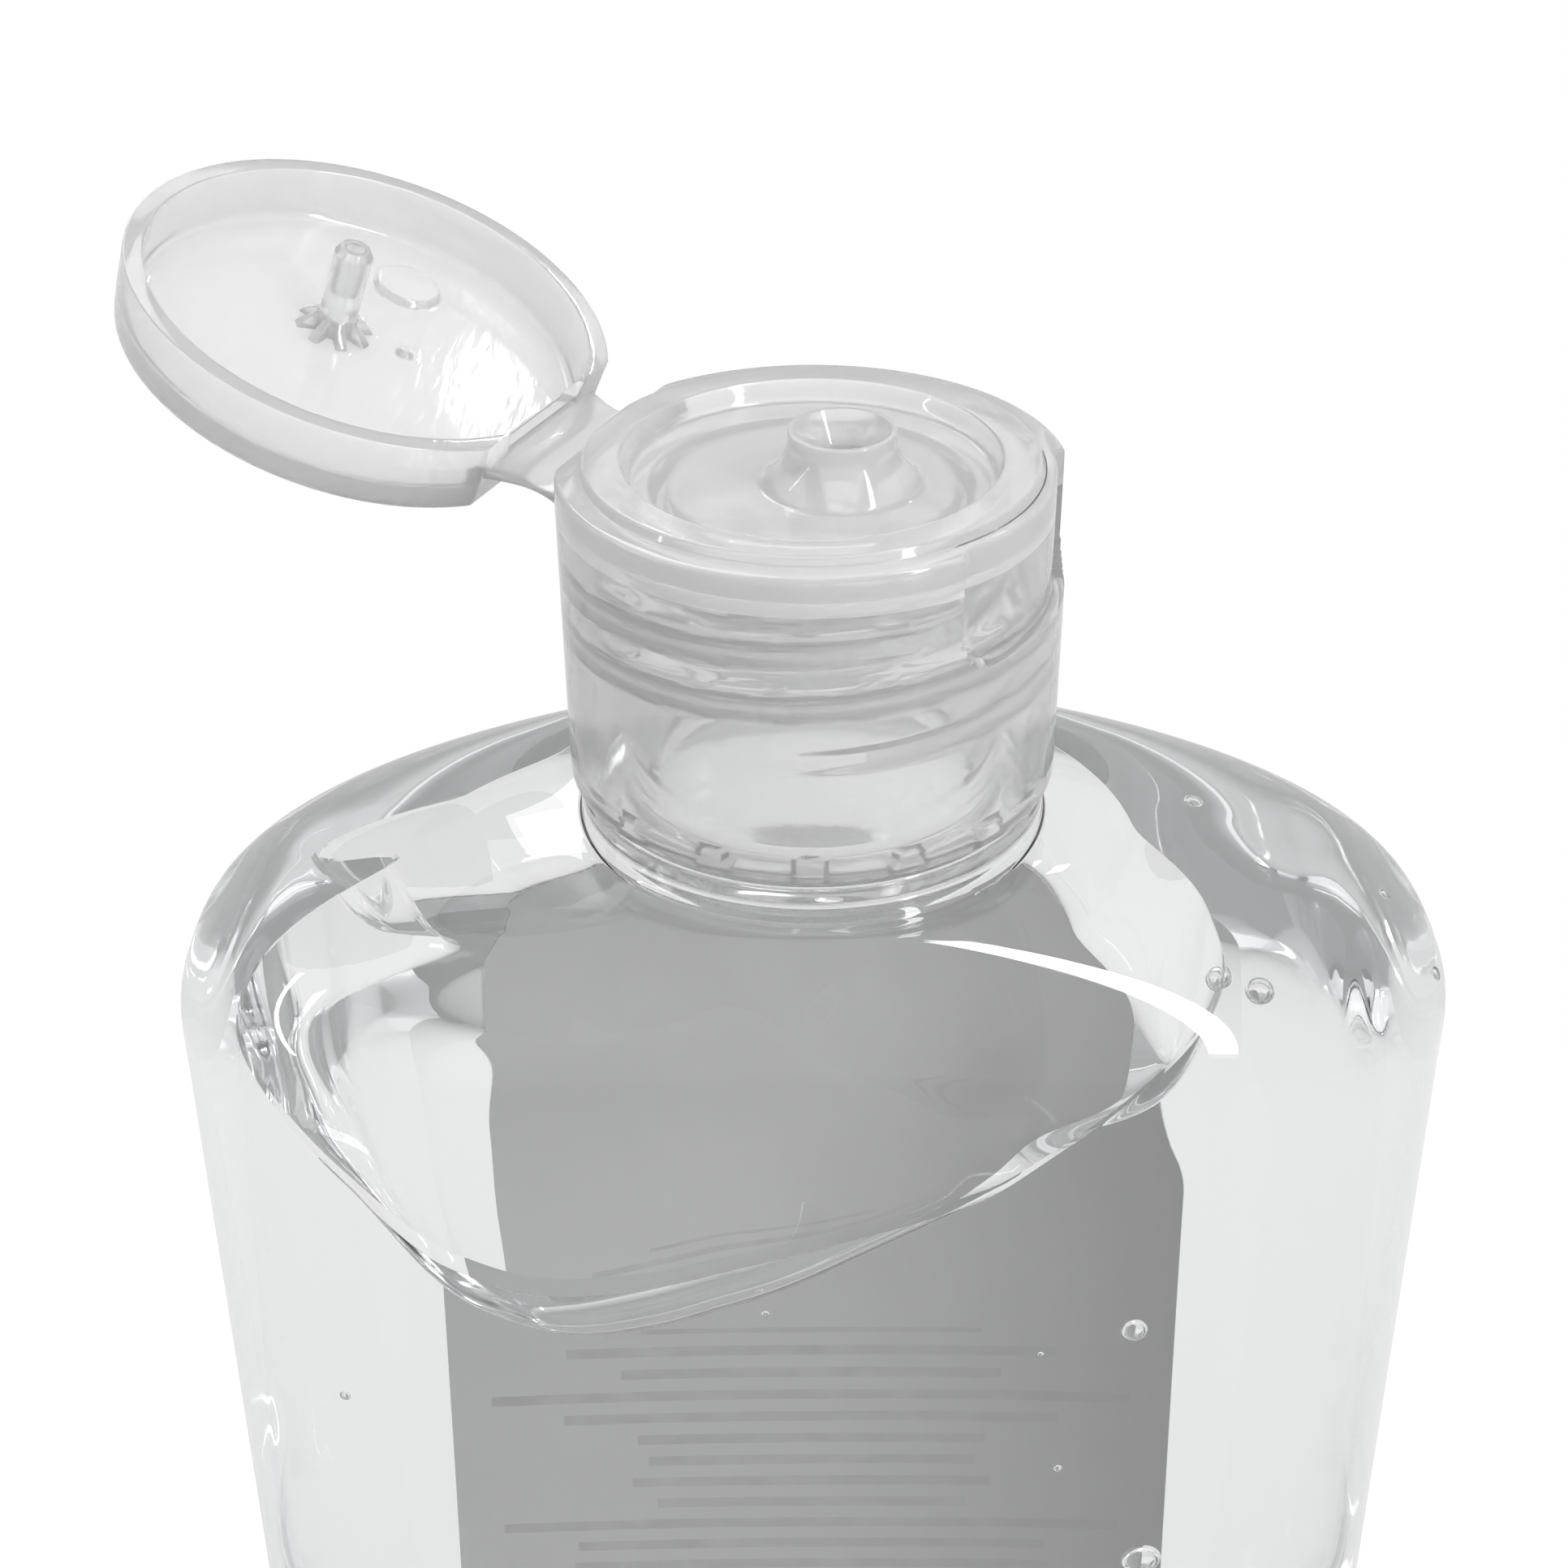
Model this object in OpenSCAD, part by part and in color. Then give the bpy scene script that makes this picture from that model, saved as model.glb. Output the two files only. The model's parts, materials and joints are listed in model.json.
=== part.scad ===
// Oval clear bottle of hand gel with a translucent flip-top screw closure.
// Origin at the centre of the resting base, +Z up, the label on the +Y side.

/* [Bottle body] */
// Width of the body across its long side
body_w = 75.8; // [68:0.2:84]
// Depth of the body from front to back
body_d = 38; // [34:0.5:44]
// Height of the upright walls, up to where the shoulder starts
wall_h = 126.1; // [100:0.1:150]
// Height of the shoulder from the walls to the foot of the neck
shoulder_h = 12.6; // [9:0.1:18]
// Squareness of the oval section, 2 is an ellipse
section_power = 2.6; // [2.2:0.1:3.2]
// Thickness of the plastic wall
wall_t = 0.8; // [0.5:0.1:1.2]
// Rounding between the walls and the base
base_round = 5; // [3:0.5:7]
// Width of the flat ring that the bottle stands on
foot_w = 2; // [1:0.5:4]
// Height that the middle of the base is pushed up
push_up = 2.5; // [1:0.5:4]

/* [Neck] */
// Radius of the bore through the neck
bore_r = 8.9; // [8:0.1:10]
// Thickness of the neck wall
neck_wall = 1.9; // [1.4:0.1:2.4]
// Height of the neck above its collar
neck_h = 16.6; // [14:0.1:20]
// Height that the thread stands out of the neck
thread_depth = 1.0; // [0.7:0.1:1.2]
// Rise of the thread in one turn
thread_pitch = 3.175; // [2.5:0.025:4]
// Turns of thread on the neck
thread_turns = 2; // [1.5:0.25:2.5]
// Height of the collar at the foot of the neck
collar_h = 2.6; // [1.8:0.1:4]
// Step from the outside of the closure in to the collar
collar_inset = 0.6; // [0.4:0.1:1.2]
// Fillet between the collar and the shoulder
collar_fillet = 0.7; // [0.4:0.1:1]

/* [Closure base] */
// Thickness of the skirt wall
cap_wall = 1.85; // [1.4:0.05:2.4]
// Thickness of the top deck in the dish
deck_t = 1.3; // [0.9:0.1:1.8]
// Depth of the dish below the rim
dish_drop = 0.7; // [0.4:0.1:1]
// Width of the raised ring that seats in the lid
seat_ring_w = 2.6; // [1.6:0.1:3.4]
// Height of the raised ring above the rim
seat_ring_h = 0.5; // [0.3:0.1:0.8]
// Height of the spout mouth above the rim
spout_h = 2.3; // [1.6:0.1:2.6]
// Radius of the spout mouth
spout_mouth_r = 2.95; // [2.4:0.05:3.2]
// Radius of the spout foot
spout_foot_r = 4.4; // [3.8:0.1:5]
// Radius of the hole through the spout
orifice_r = 1.4; // [1.3:0.05:1.6]
// Distance of the spout from the centre, away from the hinge
spout_offset = 1.8; // [1:0.1:2.4]
// Depth of the sealing ring inside the neck
plug_depth = 3.2; // [2:0.1:4.5]
// Thickness of the sealing ring
plug_wall = 0.9; // [0.6:0.1:1.2]
// Width of the thumb recess
thumb_w = 15; // [10:0.5:17]
// Height of the thumb recess
thumb_h = 5.5; // [4:0.1:7]
// Depth of the thumb recess into the skirt
thumb_depth = 0.7; // [0.4:0.1:1]
// Number of notches round the lower edge of the skirt
notch_count = 16; // [10:1:20]

/* [Lid and hinge] */
// Height of the lid above the rim
lid_h = 4.5; // [4.3:0.1:6]
// Thickness of the lid wall
lid_wall = 1.1; // [0.8:0.05:1.3]
// Thickness of the lid top
lid_top = 1.1; // [0.8:0.1:1.3]
// Rounding of the lid's outer edge
lid_edge = 0.7; // [0.3:0.1:1]
// Radius of the pin that stops the spout
pin_r = 1.1; // [0.9:0.05:1.1]
// Depth that the pin reaches into the spout
pin_reach = 4.5; // [3:0.1:5]
// Angle that the lid is open from closed
lid_open = 158; // [90:1:165]
// Direction of the hinge round the closure, 0 is +X
hinge_azimuth = 155; // [120:1:180]
// Depth that the hinge flat cuts into the round of the closure
hinge_flat = 1.8; // [1.4:0.1:2.2]
// Width of the hinge strap
strap_w = 12; // [8:0.5:13]
// Thickness of the hinge strap
strap_t = 0.7; // [0.5:0.1:0.9]
// Depth of the hinge strap below the rim
strap_drop = 1.9; // [1.6:0.1:2.2]

/* [Label] */
// Width of the label, measured straight across
label_w = 44; // [36:1:56]
// Height of the label
label_h = 95; // [70:1:104]
// Distance from the top of the walls down to the label
label_drop = 13.1; // [6:0.1:20]
// Radius of the label corners
label_corner = 8; // [2:0.5:10]
// Thickness of the label
label_t = 0.12; // [0.1:0.02:0.2]

/* [Gel] */
// Gap that keeps the gel solid just clear of the bottle
gel_gap = 0.12; // [0.1:0.02:0.3]
// Sideways place of the lowest point of the air pocket
pocket_x = -5; // [-9:0.5:-1]
// Front to back place of the lowest point of the air pocket
pocket_y = -2; // [-4:0.5:2]
// Depth of the front of the air pocket below the foot of the neck
pocket_depth = 25.2; // [22:0.2:34]
// Depth of the terrace at the back of the air pocket below the foot of the neck
terrace_depth = 7.7; // [6:0.1:12]

/* [Hidden] */

fit_gap = 0.05;
seat_gap = 0.1;
skirt_gap = 0.5;
thread_gap = 0.35;
lid_gap = 0.12;
ring_gap = 0.3;
cut = 1;
round_fn = 96;
small_fn = 40;

half_w = body_w / 2;
half_d = body_d / 2;
neck_foot_z = wall_h + shoulder_h;
collar_top_z = neck_foot_z + collar_h;
neck_top_z = collar_top_z + neck_h;
neck_r = bore_r + neck_wall;
thread_r = neck_r + thread_depth;
cap_bore_r = thread_r + thread_gap;
cap_r = cap_bore_r + cap_wall;
collar_r = cap_r - collar_inset;
skirt_z = collar_top_z + skirt_gap;
deck_under_z = neck_top_z + seat_gap;
rim_z = deck_under_z + deck_t + dish_drop;
cap_h = rim_z - skirt_z;
seat_ring_r = cap_r - lid_wall - ring_gap;
dish_r = seat_ring_r - seat_ring_w;
plug_r = bore_r - fit_gap;
flat_u = cap_r - hinge_flat;
pivot_u = cap_r + 0.2;
lid_in_r = cap_r - lid_wall;
lid_floor_z = lid_h - lid_top;
pin_len = lid_floor_z - spout_h + pin_reach;

// Shoulder curve: how far the section is from the collar (0) to the full body (1)
shoulder_bulge = 2.49;
shoulder_flat = 1.43;
function shoulder_grow(t) = pow(1 - pow(t, shoulder_bulge), 1 / shoulder_flat);

// One point of an oval of half sizes p and q and power n, in direction a
function sign_pow(v, e) = sign(v) * pow(abs(v), e);
function oval_point(p, q, n, a) = [p * sign_pow(cos(a), 2 / n), q * sign_pow(sin(a), 2 / n)];

// A ring of the bottle: half width, half depth, power and height
function oval_ring(ring, count) =
    [for (i = [0:count - 1])
        let (e = oval_point(ring[0], ring[1], ring[2], 360 * i / count)) [e[0], e[1], ring[3]]];

// Quads between rings as triangles, closed by a fan to the first and last point
function skin_faces(rings, count) = concat(
    [for (i = [0:count - 1]) [0, 1 + (i + 1) % count, 1 + i]],
    [for (k = [0:rings - 2], i = [0:count - 1], s = [0:1])
        let (j = (i + 1) % count, low = 1 + k * count, high = low + count)
        s == 0 ? [low + i, low + j, high + j] : [low + i, high + j, high + i]],
    [for (i = [0:count - 1])
        let (low = 1 + (rings - 1) * count) [low + i, low + (i + 1) % count, 1 + rings * count]]
);
module skin(first, rings, last, count) {
    points = concat([first], [for (r = rings) each r], [last]);
    polyhedron(points, [for (f = skin_faces(len(rings), count)) [f[0], f[2], f[1]]]);
}

// Rings of the bottle surface moved inwards by inset, from the foot to the foot of the neck
corner_steps = 5;
shoulder_steps = 14;
function foot_ring(inset) = let (r = base_round + foot_w)
    [half_w - r, half_d - r, section_power, inset];
function corner_ring(inset, k) = let (r = base_round - inset, a = 90 * k / corner_steps)
    [half_w - base_round + r * sin(a), half_d - base_round + r * sin(a), section_power,
     base_round - r * cos(a)];
function shoulder_ring(inset, k) =
    let (t = 1 - pow(1 - k / shoulder_steps, 1.6),
         g = shoulder_grow(t),
         foot = collar_r + collar_fillet - inset)
    [foot + (half_w - inset - foot) * g, foot + (half_d - inset - foot) * g,
     2 + (section_power - 2) * g, wall_h + (shoulder_h - inset) * t];
function body_rings(inset) = concat(
    [foot_ring(inset)],
    [for (k = [0:corner_steps]) corner_ring(inset, k)],
    [for (k = [0:shoulder_steps]) shoulder_ring(inset, k)]
);

// Bottle: one blown piece, open at the neck
body_fn = 96;
fillet_steps = 3;
lap = 0.4;
shell_trim = 0.03;
lap_z = neck_foot_z + collar_fillet + lap;
function collar_ring(k) = let (a = 90 * k / fillet_steps, r = collar_fillet)
    [collar_r - shell_trim + r * (1 - sin(a)), collar_r - shell_trim + r * (1 - sin(a)), 2,
     neck_foot_z + r * (1 - cos(a))];
module bottle_shell() {
    neck_in_r = collar_r - wall_t + shell_trim;
    outer = concat(
        body_rings(0),
        [for (k = [1:fillet_steps]) collar_ring(k)],
        [[collar_r - shell_trim, collar_r - shell_trim, 2, lap_z]]
    );
    inner = body_rings(wall_t);
    rim = [[neck_in_r, neck_in_r, 2, lap_z]];
    inward = [for (k = [len(inner) - 1:-1:0]) inner[k]];
    rings = [for (r = concat(outer, rim, inward)) oval_ring(r, body_fn)];
    skin([0, 0, push_up], rings, [0, 0, push_up + wall_t], body_fn);
}
module neck() {
    ledge_z = collar_top_z - wall_t;
    inside_r = collar_r - wall_t;
    rotate_extrude($fn = round_fn) polygon([
        [inside_r + wall_t / 3, lap_z - 2 * lap], [collar_r - wall_t / 3, lap_z - 2 * lap],
        [collar_r - wall_t / 3, lap_z - lap], [collar_r, lap_z - lap],
        [collar_r, collar_top_z], [neck_r, collar_top_z],
        [neck_r, neck_top_z], [bore_r, neck_top_z],
        [bore_r, collar_top_z], [inside_r, ledge_z - wall_t],
        [inside_r, lap_z - lap], [inside_r + wall_t / 3, lap_z - lap]
    ]);
}
module bottle() {
    color([0.93, 0.95, 0.96, 0.5]) {
        bottle_shell();
        neck();
        neck_thread();
    }
}

// Thread on the neck: one ridge swept round a helix, tapering out at both ends
thread_steps = 32;
thread_root = 0.4;
thread_top_gap = 1.4;
module neck_thread() {
    count = ceil(thread_steps * thread_turns);
    start_z = neck_top_z - thread_top_gap - thread_turns * thread_pitch;
    base_h = 0.62 * thread_pitch;
    tip_h = 0.25 * thread_pitch;
    rings = [for (i = [0:count])
        let (turn = i / thread_steps,
             fade = min(1, 6 * i / count, 6 * (count - i) / count),
             out = neck_r - thread_root + 0.05 + (thread_root + thread_depth - 0.05) * fade,
             z = start_z + turn * thread_pitch)
        [for (e = [[neck_r - thread_root, -base_h / 2], [out, -tip_h / 2],
                   [out, tip_h / 2], [neck_r - thread_root, base_h / 2]])
            [e[0] * cos(360 * turn), e[0] * sin(360 * turn), z + e[1]]]];
    skin(ring_middle(rings[0]), rings, ring_middle(rings[count]), 4);
}
function ring_middle(r) = (r[0] + r[1] + r[2] + r[3]) / 4;

// Height below the foot of the neck at which the air pocket leaves the wall, by direction
pocket_line = [[-180, 3.4], [-161, 10], [-150, 16], [-138, 21], [-125, 22.4], [-108, 21.6],
    [-90, 20], [-67, 17.8], [-49, 15.2], [-39, 11.3], [-32, 8.2], [-23, 5], [-14, 2.8],
    [0, 1.4], [40, 1], [90, 1], [140, 1.1], [165, 1.8], [180, 3.4]];
function smooth_step(t) = t * t * (3 - 2 * t);
function pocket_drop(a) = let (i = max([for (k = [0:len(pocket_line) - 2]) pocket_line[k][0] <= a ? k : 0]),
    u = pocket_line[i], v = pocket_line[i + 1])
    u[1] + (v[1] - u[1]) * smooth_step((a - u[0]) / (v[0] - u[0]));

// Half sizes and power of the inside of the gel at a height
gel_inset = wall_t + gel_gap;
function gel_section(z) = let (t = (z - wall_h) / (shoulder_h - gel_inset))
    shoulder_section(gel_inset, min(1, max(0, t)));
function shoulder_section(inset, t) = let (g = shoulder_grow(t), foot = collar_r + collar_fillet - inset)
    [foot + (half_w - inset - foot) * g, foot + (half_d - inset - foot) * g, 2 + (section_power - 2) * g];
function section_level(x, y, s) = pow(abs(x / s[0]), s[2]) + pow(abs(y / s[1]), s[2]);
// Distance from the middle of the pocket to the wall in direction a, by halving
function reach(a, s, low = 0, high = 60, n = 22) = let (m = (low + high) / 2,
    level = section_level(pocket_x + m * cos(a), pocket_y + m * sin(a), s))
    n == 0 ? m : level > 1 ? reach(a, s, low, m, n - 1) : reach(a, s, m, high, n - 1);

// One point of the profile of the gel in direction a: up the wall, then down into the pocket
gel_fn = 72;
wall_steps = 12;
pocket_steps = 12;
bank = 5;
bank_power = 2.2;
terrace_y = -9;
terrace_turn = 0.12;
terrace_run = 11;
function gel_wall_point(a, k) =
    let (top = neck_foot_z - pocket_drop(a),
         rise = k / wall_steps,
         z = rise < 0.25 ? base_round + (wall_h - 30 - base_round) * rise / 0.25
             : wall_h - 30 + (top - wall_h + 30) * (rise - 0.25) / 0.75,
         r = reach(a, gel_section(z)))
    [r, z];
// The gel under the pocket is low in front and rises to a terrace at the back
function pocket_floor(x, y) =
    let (rise = smooth_step(min(1, max(0, (y - terrace_y + terrace_turn * x) / terrace_run + 0.5))))
    neck_foot_z - pocket_depth + (pocket_depth - terrace_depth) * rise;
function gel_pocket_point(a, k) =
    let (top = gel_wall_point(a, wall_steps),
         share = pow(k / pocket_steps, 1.6),
         r = top[0] * (1 - share),
         steep = pow(max(0, 1 - share * top[0] / bank), bank_power),
         z = pocket_floor(pocket_x + r * cos(a), pocket_y + r * sin(a)))
    [r, z + (top[1] - z) * steep];
function gel_place(p, a) = [pocket_x + p[0] * cos(a), pocket_y + p[0] * sin(a), p[1]];
module gel() {
    foot = [for (k = [0:corner_steps - 1]) corner_ring(gel_inset, k)];
    start = concat([foot_ring(gel_inset)], foot);
    angles = [for (i = [0:gel_fn - 1]) let (a = 360 * i / gel_fn) a > 180 ? a - 360 : a];
    low = [for (r = start) [for (a = angles) gel_place([reach(a, r), r[3]], a)]];
    side = [for (k = [0:wall_steps]) [for (a = angles) gel_place(gel_wall_point(a, k), a)]];
    pocket = [for (k = [1:pocket_steps - 1]) [for (a = angles) gel_place(gel_pocket_point(a, k), a)]];
    rings = concat(low, side, pocket);
    color([0.86, 0.9, 0.92, 0.6])
        skin([0, 0, push_up + gel_inset], rings,
             [pocket_x, pocket_y, pocket_floor(pocket_x, pocket_y)], gel_fn);
}

// Label: thin sheet wrapped on the flat of the back wall
label_gap = 0.02;
label_steps = 24;
function back_wall(x, out) =
    [x, (half_d + out) * pow(1 - pow(abs(x) / (half_w + out), section_power), 1 / section_power)];
module label_band() {
    side = label_w / 2 + cut;
    xs = [for (i = [-label_steps:label_steps]) side * i / label_steps];
    polygon(concat(
        [for (x = xs) back_wall(x, label_gap)],
        [for (i = [len(xs) - 1:-1:0]) back_wall(xs[i], label_gap + label_t)]
    ));
}
module label_outline() {
    dx = label_w / 2 - label_corner;
    dz = label_h / 2 - label_corner;
    for (x = [-dx, dx], z = [-dz, dz])
        translate([x, z]) circle(label_corner, $fn = small_fn);
    square([label_w, 2 * dz], center = true);
    square([2 * dx, label_h], center = true);
}
module back_label() {
    top_z = wall_h - label_drop;
    color([0.8, 0.82, 0.83])
        intersection() {
            translate([0, 0, top_z - label_h - cut]) linear_extrude(label_h + 2 * cut) label_band();
            translate([0, half_d + 2, top_z - label_h / 2])
                rotate([90, 0, 0]) linear_extrude(half_d) label_outline();
        }
}

// Closure frame: origin on the axis at the rim, hinge towards +X
module closure_frame() {
    translate([0, 0, rim_z]) rotate([0, 0, hinge_azimuth]) children();
}

// Closure base: skirt, deck, spout and sealing ring in one moulding
rim_round = 0.3;
ring_slope = 0.2;
module skirt_and_deck() {
    under = deck_under_z - rim_z;
    rotate_extrude($fn = round_fn) polygon([
        [0, under], [plug_r - plug_wall, under],
        [plug_r - plug_wall, under - plug_depth], [plug_r - 0.3, under - plug_depth],
        [plug_r, under - plug_depth + 0.6], [plug_r, under],
        [cap_bore_r, under], [cap_bore_r, -cap_h], [cap_r - 0.1, -cap_h],
        [cap_r, -rim_round], [cap_r - rim_round, 0],
        [seat_ring_r, 0], [seat_ring_r - ring_slope, seat_ring_h],
        [dish_r + 2 * ring_slope, seat_ring_h], [dish_r, -dish_drop], [0, -dish_drop]
    ]);
}
spout_steps = 8;
module spout() {
    rise = spout_h + dish_drop;
    flare = [for (k = [0:spout_steps]) let (t = k / spout_steps)
        [spout_mouth_r + (spout_foot_r - spout_mouth_r) * pow(1 - t, 2.2), -dish_drop + rise * t]];
    translate([-spout_offset, 0, 0]) rotate_extrude($fn = round_fn)
        polygon(concat([[0, -dish_drop - deck_t / 2], [spout_foot_r, -dish_drop - deck_t / 2]],
                       flare, [[0, spout_h]]));
}
module spout_hole() {
    under = deck_under_z - rim_z;
    mouth_in = spout_mouth_r - 0.25;
    throat = spout_h - 1.5;
    translate([-spout_offset, 0, 0]) rotate_extrude($fn = round_fn) polygon([
        [0, under - cut], [orifice_r, under - cut], [orifice_r, throat],
        [mouth_in, spout_h], [mouth_in, spout_h + cut], [0, spout_h + cut]
    ]);
}
module thumb_recess() {
    corner = 2;
    inner = thumb_w / 2 - corner;
    translate([-cap_r - cut, 0, 0]) rotate([90, 0, 90]) linear_extrude(2 * cut + cap_wall) {
        for (y = [-inner, inner])
            translate([y, -thumb_h + corner]) circle(corner, $fn = small_fn);
        translate([-inner, -thumb_h]) square([2 * inner, thumb_h]);
        translate([-thumb_w / 2, -thumb_h + corner]) square([thumb_w, thumb_h + cut]);
    }
}
module thumb_cut() {
    difference() {
        intersection() {
            thumb_recess();
            translate([0, 0, -2 * thumb_h]) cylinder(h = 3 * thumb_h, r = cap_r + cut, $fn = round_fn);
        }
        translate([0, 0, -3 * thumb_h])
            cylinder(h = 4 * thumb_h, r = cap_r - thumb_depth, $fn = round_fn);
    }
}
module hinge_notch() {
    translate([flat_u, -cap_r, -strap_drop]) cube([cap_r, 2 * cap_r, cap_h]);
}
notch_w = 1.9;
notch_h = 1.0;
notch_depth = 0.6;
notch_slope = 0.3;
module notches() {
    top_w = notch_w / 2 - notch_slope;
    low_w = notch_w / 2 + notch_slope * cut / notch_h;
    for (i = [0:notch_count - 1])
        rotate([0, 0, 360 * (i + 0.5) / notch_count])
            translate([cap_bore_r - cut, 0, -cap_h]) rotate([90, 0, 90])
                linear_extrude(cut + notch_depth)
                    polygon([[-low_w, -cut], [low_w, -cut], [top_w, notch_h], [-top_w, notch_h]]);
}
strap_root = 0.2;
strap_past = 0.15;
module strap_half() {
    translate([flat_u - strap_root, -strap_w / 2, -strap_drop - strap_t])
        cube([pivot_u + strap_past - flat_u + strap_root, strap_w, strap_t]);
}
module cap_base() {
    color([0.9, 0.91, 0.92]) closure_frame() {
        difference() {
            union() {
                skirt_and_deck();
                spout();
            }
            spout_hole();
            thumb_cut();
            hinge_notch();
            notches();
        }
        strap_half();
    }
}

// Lid as it sits closed on the rim, hinge towards +X
module lid_cup() {
    rotate_extrude($fn = round_fn) polygon([
        [0, lid_floor_z], [lid_in_r - 0.3, lid_floor_z], [lid_in_r, lid_floor_z - 0.3],
        [lid_in_r, lid_gap], [cap_r - 0.15, lid_gap], [cap_r, lid_gap + 0.15],
        [cap_r - 0.2, lid_h - lid_edge], [cap_r - 0.2 - 0.3 * lid_edge, lid_h - 0.3 * lid_edge],
        [cap_r - 0.2 - lid_edge, lid_h], [0, lid_h]
    ]);
}
module chord_wall() {
    intersection() {
        translate([flat_u - lid_wall, -cap_r, strap_drop])
            cube([lid_wall, 2 * cap_r, lid_floor_z + lid_top / 2 - strap_drop]);
        cylinder(h = lid_h, r = cap_r - lid_wall / 2, $fn = round_fn);
    }
}
star_points = 8;
module pin() {
    translate([-spout_offset, 0, lid_floor_z - pin_len]) {
        difference() {
            union() {
                translate([0, 0, 0.4]) cylinder(h = pin_len - 0.4 + lid_top / 2, r = pin_r, $fn = small_fn);
                cylinder(h = 0.4, r1 = pin_r - 0.3, r2 = pin_r, $fn = small_fn);
            }
            translate([0, 0, -cut]) cylinder(h = 3 + cut, r = pin_r / 2, $fn = small_fn);
        }
        for (i = [0:star_points - 1])
            rotate([0, 0, 360 * i / star_points])
                translate([0, 0.2, pin_len]) rotate([90, 0, 0]) linear_extrude(0.4)
                    polygon([[pin_r / 2, lid_top / 2], [pin_r / 2, -0.8], [pin_r + 0.05, -0.8],
                             [pin_r + 1, -0.05], [pin_r + 1, lid_top / 2]]);
    }
}
disc_place = [1.5, 7.5];
module raised_disc() {
    translate([-disc_place[0], -disc_place[1], lid_floor_z - 0.4])
        cylinder(h = 0.4 + lid_top / 2, r = 1.9, $fn = small_fn);
}
module lid_closed() {
    difference() {
        lid_cup();
        translate([flat_u, -cap_r, -cut]) cube([cap_r, 2 * cap_r, lid_h + 2 * cut]);
    }
    chord_wall();
    pin();
    raised_disc();
    mirror([0, 0, 1]) strap_half();
}
module lid() {
    color([0.9, 0.91, 0.92]) closure_frame()
        translate([pivot_u, 0, 0]) rotate([0, lid_open, 0]) translate([-pivot_u, 0, 0]) lid_closed();
}

bottle();
gel();
back_label();
cap_base();
lid();
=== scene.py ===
"""Clear oval bottle of hand gel with a translucent flip-top closure, lid open, on a plain pale floor."""
import json
import math

import bpy
import numpy as np
from mathutils import Matrix, Vector


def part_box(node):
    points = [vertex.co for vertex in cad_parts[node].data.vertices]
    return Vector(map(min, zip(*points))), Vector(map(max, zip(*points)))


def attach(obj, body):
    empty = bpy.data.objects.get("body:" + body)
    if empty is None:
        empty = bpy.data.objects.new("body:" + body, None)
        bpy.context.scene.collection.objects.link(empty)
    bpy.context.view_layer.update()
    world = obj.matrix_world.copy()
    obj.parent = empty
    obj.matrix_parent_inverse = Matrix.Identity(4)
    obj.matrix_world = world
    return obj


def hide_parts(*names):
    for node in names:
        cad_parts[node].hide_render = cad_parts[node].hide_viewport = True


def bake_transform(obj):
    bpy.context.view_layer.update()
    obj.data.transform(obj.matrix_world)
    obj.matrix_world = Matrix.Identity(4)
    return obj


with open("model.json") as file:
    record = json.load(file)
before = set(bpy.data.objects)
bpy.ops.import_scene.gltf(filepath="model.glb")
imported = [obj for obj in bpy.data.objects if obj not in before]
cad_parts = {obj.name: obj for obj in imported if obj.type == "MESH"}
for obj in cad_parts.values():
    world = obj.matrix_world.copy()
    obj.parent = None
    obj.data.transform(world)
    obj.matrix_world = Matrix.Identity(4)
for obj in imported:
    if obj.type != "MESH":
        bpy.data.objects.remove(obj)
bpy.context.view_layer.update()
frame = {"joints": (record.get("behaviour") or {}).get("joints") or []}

MM = 0.001

# Sizes read from the frame, in millimetres
_, bottle_high = (np.array(corner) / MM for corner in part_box("bottle"))
label_low, label_high = (np.array(corner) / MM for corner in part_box("back_label"))
joints = {joint["name"]: joint for joint in frame["joints"]}
pivot = np.array(joints["lid_flip"]["pos_m"]) / MM
half_w, half_d = bottle_high[0], bottle_high[1]
neck_top_z = bottle_high[2]
rim_z = pivot[2]
pivot_u = math.hypot(pivot[0], pivot[1])
hinge_azimuth = math.atan2(pivot[1], pivot[0])
lid_open = math.radians(joints["lid_flip"]["range_deg"][1])

# Bottle sizes that the frame doesn't give
wall_t = 0.8
section_power = 2.6
shoulder_bulge = 2.49
shoulder_flat = 1.43
shoulder_h = 12.6
base_round = 5.0
foot_w = 2.0
push_up = 2.5
bore_r = 8.9
neck_r = 10.8
neck_h = 16.6
collar_h = 2.6
collar_fillet = 0.7
label_corner = 8.0
thread_depth = 1.0
thread_pitch = 3.175
thread_turns = 2.0
thread_top_gap = 1.4
cap_r = pivot_u - 0.2
cap_bore_r = 12.15
collar_r = cap_r - 0.6
collar_top_z = neck_top_z - neck_h
neck_foot_z = collar_top_z - collar_h
wall_h = neck_foot_z - shoulder_h


def unit(values):
    return values / np.linalg.norm(values, axis=-1, keepdims=True)


def smooth_step(value):
    value = np.clip(value, 0, 1)
    return value * value * (3 - 2 * value)


def arc_corner(before, corner, after, radius, steps=5):
    """Points of a round of that radius at a corner of a profile."""
    before, corner, after = (np.array(point, float) for point in (before, corner, after))
    to_before = unit(before - corner)
    to_after = unit(after - corner)
    half = math.acos(np.clip(to_before @ to_after, -1, 1)) / 2
    back = min(radius / math.tan(half), 0.48 * np.linalg.norm(before - corner),
               0.48 * np.linalg.norm(after - corner))
    start = corner + back * to_before
    end = corner + back * to_after
    points = []
    for step in range(steps + 1):
        t = step / steps
        points.append((1 - t) ** 2 * start + 2 * t * (1 - t) * corner + t * t * end)
    return points


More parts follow.
